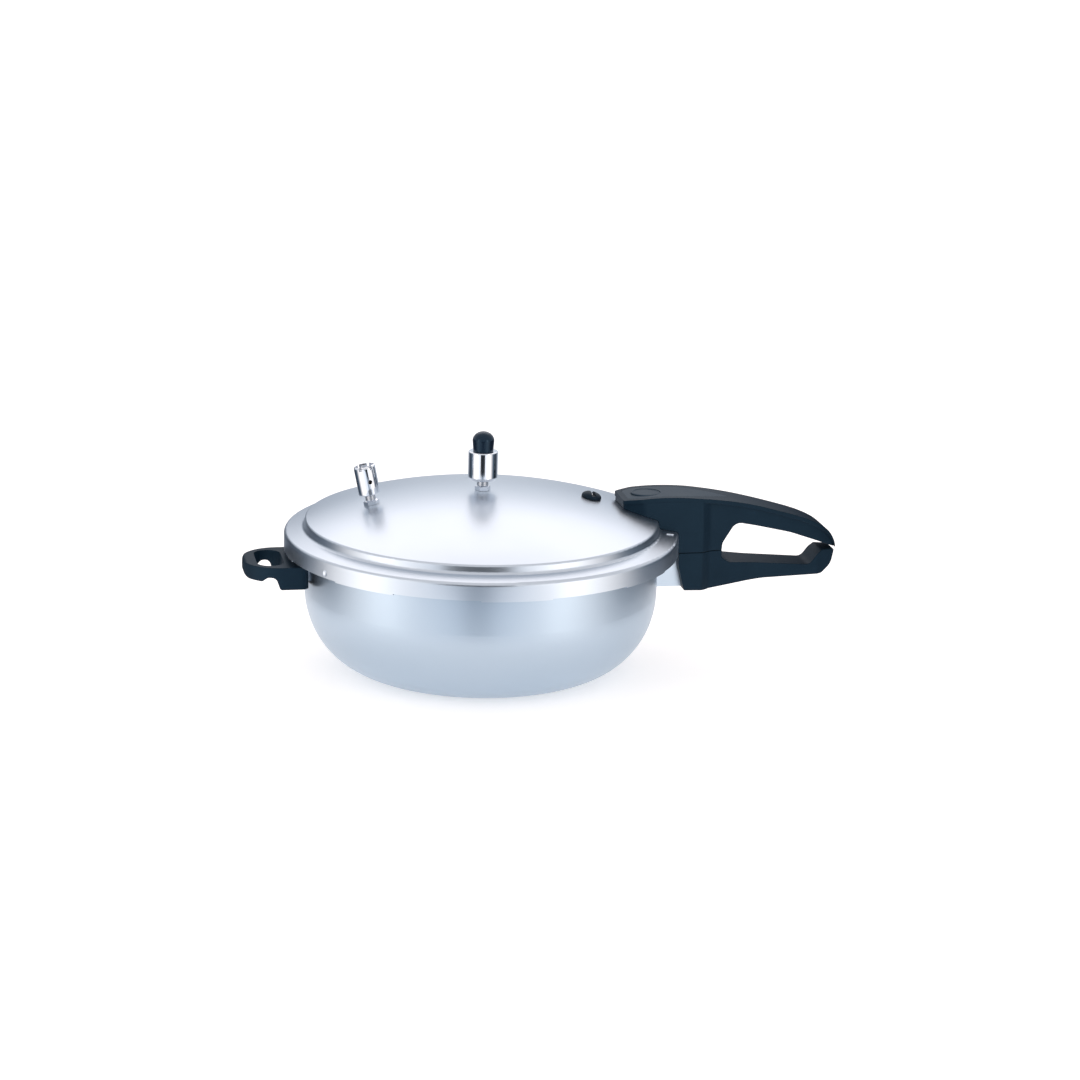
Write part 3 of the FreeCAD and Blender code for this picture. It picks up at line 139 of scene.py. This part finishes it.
def remap(tree, value, low, high):
    """Spreads a 0 to 1 value over low to high."""
    node = add(tree, "ShaderNodeMapRange")
    node.inputs["To Min"].default_value = low
    node.inputs["To Max"].default_value = high
    tree.links.new(value, node.inputs["Value"])
    return node.outputs["Result"]


def noise(tree, vector, scale, detail=2.0, roughness=0.5):
    """Smooth noise from 0 to 1 at a point."""
    node = add(tree, "ShaderNodeTexNoise", Scale=scale, Detail=detail, Roughness=roughness)
    tree.links.new(vector, node.inputs["Vector"])
    return node.outputs["Fac"]


def object_point(tree):
    """Place on the surface, in metres."""
    return add(tree, "ShaderNodeTexCoord").outputs["Object"]


def blend_colours(tree, factor, first, second):
    """Colour that runs from first to second with the factor."""
    node = tree.nodes.new("ShaderNodeMix")
    node.data_type = "RGBA"
    node.inputs[6].default_value = first + (1.0,)
    node.inputs[7].default_value = second + (1.0,)
    tree.links.new(factor, node.inputs[0])
    return node.outputs[2]


def bump(tree, shader, height, strength, distance, bevel=0.0):
    """Fine relief on the shader, over edges softened by bevel."""
    node = add(tree, "ShaderNodeBump", Strength=strength, Distance=distance)
    tree.links.new(height, node.inputs["Height"])
    if bevel > 0:
        edge = tree.nodes.new("ShaderNodeBevel")
        edge.samples = BEVEL_SAMPLES
        edge.inputs["Radius"].default_value = bevel
        tree.links.new(edge.outputs["Normal"], node.inputs["Normal"])
    tree.links.new(node.outputs["Normal"], shader.inputs["Normal"])


# ---- materials ----

def spun_aluminium(name, bright, dark, roughness, pitch, relief):
    """Satin aluminium with the fine rings of spinning and soft variation in its finish."""
    material, tree, shader = new_material(name)
    point = object_point(tree)
    parts = add(tree, "ShaderNodeSeparateXYZ")
    tree.links.new(point, parts.inputs[0])
    x, y, z = parts.outputs
    radius = math_node(tree, "SQRT", math_node(
        tree, "ADD", math_node(tree, "MULTIPLY", x, x), math_node(tree, "MULTIPLY", y, y)), 0)
    along = math_node(tree, "ADD", radius, math_node(tree, "MULTIPLY", z, RING_RISE))
    rings = add(tree, "ShaderNodeTexNoise", noise_dimensions="1D", Scale=1.0, Detail=3.0)
    tree.links.new(math_node(tree, "MULTIPLY", along, 1.0 / pitch), rings.inputs["W"])
    cloud = noise(tree, point, SPUN_CLOUD, 3.0)
    grain = noise(tree, point, SPUN_GRAIN, 1.0)
    colour = blend_colours(tree, remap(tree, cloud, 0.0, 1.0), bright, dark)
    tree.links.new(colour, shader.inputs["Base Color"])
    finish = math_node(tree, "ADD", remap(tree, cloud, roughness - 0.03, roughness + 0.05),
                       remap(tree, rings.outputs["Fac"], -0.03, 0.03))
    tree.links.new(finish, shader.inputs["Roughness"])
    shader.inputs["Metallic"].default_value = 1.0
    height = math_node(tree, "ADD", rings.outputs["Fac"], math_node(tree, "MULTIPLY", grain, 0.5))
    bump(tree, shader, height, relief, SPUN_DEPTH)
    return material


def polished_metal(name, bright, dark, roughness, relief, bevel):
    """Polished or brushed small fittings with faint drawing marks."""
    material, tree, shader = new_material(name)
    point = object_point(tree)
    cloud = noise(tree, point, POLISH_CLOUD, 2.0)
    marks = noise(tree, point, POLISH_MARKS, 2.0)
    tree.links.new(blend_colours(tree, cloud, bright, dark), shader.inputs["Base Color"])
    tree.links.new(remap(tree, cloud, roughness * 0.7, roughness * 1.3), shader.inputs["Roughness"])
    shader.inputs["Metallic"].default_value = 1.0
    bump(tree, shader, marks, relief, POLISH_DEPTH, bevel)
    return material


def moulded(name, base, light, roughness, relief, bevel, specular=0.5, tint=NEUTRAL):
    """Moulded phenolic or rubber: fine grain, flow clouds and softened edges."""
    material, tree, shader = new_material(name)
    point = object_point(tree)
    cloud = noise(tree, point, MOULD_CLOUD, 4.0, 0.6)
    grain = noise(tree, point, MOULD_GRAIN, 2.0)
    colour = blend_colours(tree, remap(tree, cloud, -0.2, 1.1), base, light)
    tree.links.new(colour, shader.inputs["Base Color"])
    tree.links.new(remap(tree, cloud, roughness - 0.06, roughness + 0.08), shader.inputs["Roughness"])
    shader.inputs["Specular IOR Level"].default_value = specular
    shader.inputs["Specular Tint"].default_value = tint + (1.0,)
    bump(tree, shader, grain, relief, MOULD_DEPTH, bevel)
    return material


# slot in the record: how it is made, and its finish
MATERIALS = {
    "pot_aluminium": (spun_aluminium, dict(
        bright=(0.475, 0.56, 0.65), dark=(0.44, 0.53, 0.625), roughness=0.33, pitch=0.0006, relief=0.16)),
    "lid_aluminium": (spun_aluminium, dict(
        bright=(0.61, 0.665, 0.73), dark=(0.57, 0.63, 0.70), roughness=0.30, pitch=0.0005, relief=0.12)),
    "chrome": (polished_metal, dict(
        bright=(0.84, 0.86, 0.90), dark=(0.76, 0.79, 0.84), roughness=0.05, relief=0.05, bevel=0.0003)),
    "steel": (polished_metal, dict(
        bright=(0.60, 0.61, 0.63), dark=(0.48, 0.49, 0.52), roughness=0.26, relief=0.15, bevel=0.0003)),
    "brass": (polished_metal, dict(
        bright=(0.80, 0.60, 0.28), dark=(0.66, 0.47, 0.20), roughness=0.24, relief=0.12, bevel=0.0003)),
    "bakelite": (moulded, dict(
        base=(0.0050, 0.0135, 0.0240), light=(0.008, 0.020, 0.034), roughness=0.44, relief=0.20,
        bevel=0.0010, specular=0.16, tint=BAKELITE_TINT)),
    "bakelite_panel": (moulded, dict(
        base=(0.010, 0.022, 0.036), light=(0.018, 0.034, 0.052), roughness=0.45, relief=0.35,
        bevel=0.0004, specular=0.24, tint=BAKELITE_TINT)),
    "knob_plastic": (moulded, dict(
        base=(0.003, 0.007, 0.016), light=(0.007, 0.012, 0.023), roughness=0.20, relief=0.06,
        bevel=0.0006, specular=0.45, tint=BAKELITE_TINT)),
    "black_rubber": (moulded, dict(
        base=(0.004, 0.008, 0.015), light=(0.009, 0.015, 0.024), roughness=0.50, relief=0.5,
        bevel=0.0004, specular=0.25, tint=BAKELITE_TINT)),
    "ring_rubber": (moulded, dict(
        base=(0.060, 0.060, 0.066), light=(0.090, 0.090, 0.097), roughness=0.62, relief=0.5, bevel=0.0004)),
}


def dress_nodes():
    """Gives each CAD node the detailed material of its slot in the record."""
    made = {slot: make(slot, **finish) for slot, (make, finish) in MATERIALS.items()}
    for part in RECORD["subparts"]:
        node = frame["nodes"][part["node"]]
        material = made[part["material_slot"]]
        for slot in node.material_slots:
            slot.material = material
        if not node.material_slots:
            node.data.materials.append(material)


# ---- stage ----

def make_floor():
    """Plain pale floor just under the base, which glows a little so that it stays white."""
    mesh = bpy.data.meshes.new("studio_floor")
    half = FLOOR_HALF
    corners = [(-half, -half, 0), (half, -half, 0), (half, half, 0), (-half, half, 0)]
    mesh.from_pydata(corners, [], [(0, 1, 2, 3)])
    floor = bpy.data.objects.new("studio_floor", mesh)
    floor.location.z = CAD_BOX[0][2] - FLOOR_DROP
    bpy.context.scene.collection.objects.link(floor)
    material, tree, shader = new_material("studio_floor")
    soft = noise(tree, object_point(tree), FLOOR_CLOUD, 2.0)
    tree.links.new(blend_colours(tree, soft, FLOOR_LIGHT, FLOOR_DARK), shader.inputs["Base Color"])
    shader.inputs["Roughness"].default_value = 0.75
    shader.inputs["Specular IOR Level"].default_value = 0.2
    shader.inputs["Emission Color"].default_value = FLOOR_GLOW_COLOUR
    shader.inputs["Emission Strength"].default_value = FLOOR_GLOW
    mesh.materials.append(material)


def card_material():
    """Glow whose colour runs through CARD_BANDS round the object, with a dark gap high in front."""
    material = bpy.data.materials.new("reflector_cards")
    material.use_nodes = True
    tree = material.node_tree
    tree.nodes.clear()
    parts = add(tree, "ShaderNodeSeparateXYZ")
    tree.links.new(object_point(tree), parts.inputs[0])
    turn = math_node(tree, "ARCTAN2", parts.outputs["X"], math_node(tree, "MULTIPLY", parts.outputs["Y"], -1))
    ramp = tree.nodes.new("ShaderNodeValToRGB")
    whole = 2 * math.pi
    tree.links.new(math_node(tree, "ADD", math_node(tree, "DIVIDE", turn, whole), 0.5), ramp.inputs["Fac"])
    stops = ramp.color_ramp.elements
    while len(stops) < len(CARD_BANDS):
        stops.new(0.5)
    for stop, (degrees, colour) in zip(stops, CARD_BANDS):
        stop.position = degrees / 360 + 0.5
        stop.color = colour + (1.0,)
    glow = add(tree, "ShaderNodeEmission")
    tree.links.new(ramp.outputs["Color"], glow.inputs["Color"])
    near = math_node(tree, "LESS_THAN", math_node(tree, "ABSOLUTE", turn, 0), math.radians(STRIPE_HALF))
    high = math_node(tree, "GREATER_THAN", parts.outputs["Z"], STRIPE_LOW)
    gap = remap(tree, math_node(tree, "MULTIPLY", near, high), CARD_GLOW, STRIPE_GLOW)
    tree.links.new(gap, glow.inputs["Strength"])
    tree.links.new(glow.outputs[0], add(tree, "ShaderNodeOutputMaterial").inputs["Surface"])
    return material


def make_cards():
    """Ring of studio cards that shows only in reflections."""
    rim = []
    for step in range(CARD_STEPS):
        angle = 2 * math.pi * step / CARD_STEPS
        rim.append((CARD_RADIUS * math.cos(angle), CARD_RADIUS * math.sin(angle)))
    low = CAD_BOX[0][2]
    corners = [(x, y, low) for x, y in rim] + [(x, y, low + CARD_HEIGHT) for x, y in rim]
    faces = []
    for step in range(CARD_STEPS):
        after = (step + 1) % CARD_STEPS
        faces.append((step, after, CARD_STEPS + after, CARD_STEPS + step))
    mesh = bpy.data.meshes.new("reflector_cards")
    mesh.from_pydata(corners, [], faces)
    mesh.materials.append(card_material())
    cards = bpy.data.objects.new("reflector_cards", mesh)
    cards.rotation_euler.z = math.radians(VIEW_AZIMUTH)
    bpy.context.scene.collection.objects.link(cards)
    cards.visible_camera = False
    cards.visible_diffuse = False
    cards.visible_shadow = False
    cards.visible_transmission = False


def aim(thing, place, target):
    """Puts a light or camera at place, looking at target."""
    facing = (Vector(target) - Vector(place)).to_track_quat("-Z", "Y")
    thing.matrix_world = Matrix.Translation(Vector(place)) @ facing.to_matrix().to_4x4()


def around(azimuth, elevation, distance):
    """Point seen from the middle of the object at a frame azimuth and elevation."""
    turn = math.radians(azimuth)
    rise = math.radians(elevation)
    flat = distance * math.cos(rise)
    return Vector((flat * math.sin(turn), -flat * math.cos(turn), distance * math.sin(rise)))


def add_softbox(name, azimuth, elevation, distance, size, power, colour):
    """Soft rectangular light that faces the middle of the object."""
    data = bpy.data.lights.new(name, "AREA")
    data.shape = "RECTANGLE"
    data.size, data.size_y = size
    data.energy = power
    data.color = colour
    light = bpy.data.objects.new(name, data)
    bpy.context.scene.collection.objects.link(light)
    aim(light, around(azimuth, elevation, distance), (0, 0, AIM_HEIGHT))


def add_lights():
    for name, turn, elevation, distance, size, power, colour in SOFTBOXES:
        add_softbox(name, VIEW_AZIMUTH + turn, elevation, distance, size, power, colour)


def make_world():
    """Pale sky overhead that falls to a cooler, darker band at the horizon."""
    world = bpy.data.worlds.new("studio")
    world.use_nodes = True
    bpy.context.scene.world = world
    tree = world.node_tree
    parts = add(tree, "ShaderNodeSeparateXYZ")
    tree.links.new(add(tree, "ShaderNodeTexCoord").outputs["Generated"], parts.inputs[0])
    rise = add(tree, "ShaderNodeMapRange", interpolation_type="SMOOTHSTEP")
    rise.inputs["From Min"].default_value = SKY_LOW
    rise.inputs["From Max"].default_value = SKY_HIGH
    tree.links.new(parts.outputs["Z"], rise.inputs["Value"])
    colour = blend_colours(tree, rise.outputs["Result"], WORLD_SIDE, WORLD_TOP)
    backdrop = tree.nodes["Background"]
    tree.links.new(colour, backdrop.inputs["Color"])
    backdrop.inputs["Strength"].default_value = WORLD_STRENGTH


def add_camera():
    """Camera at the viewing angle, aimed a little off the middle of the object."""
    data = bpy.data.cameras.new("camera")
    data.lens = FOCAL_LENGTH
    data.sensor_width = SENSOR_WIDTH
    camera = bpy.data.objects.new("camera", data)
    bpy.context.scene.collection.objects.link(camera)
    bpy.context.scene.camera = camera
    offset = around(VIEW_AZIMUTH, VIEW_ELEVATION, VIEW_DISTANCE)
    facing = (-offset).to_track_quat("-Z", "Y").to_matrix().to_4x4()
    facing = facing @ Matrix.Rotation(math.radians(VIEW_ROLL), 4, "Z")
    right = facing.col[0].to_3d()
    up = facing.col[1].to_3d()
    target = Vector((0, 0, AIM_HEIGHT)) + right * AIM_RIGHT + up * AIM_UP
    camera.matrix_world = Matrix.Translation(target + offset) @ facing


bpy.context.scene.view_settings.view_transform = "Standard"
dress_nodes()
make_floor()
make_cards()
make_world()
add_lights()
add_camera()
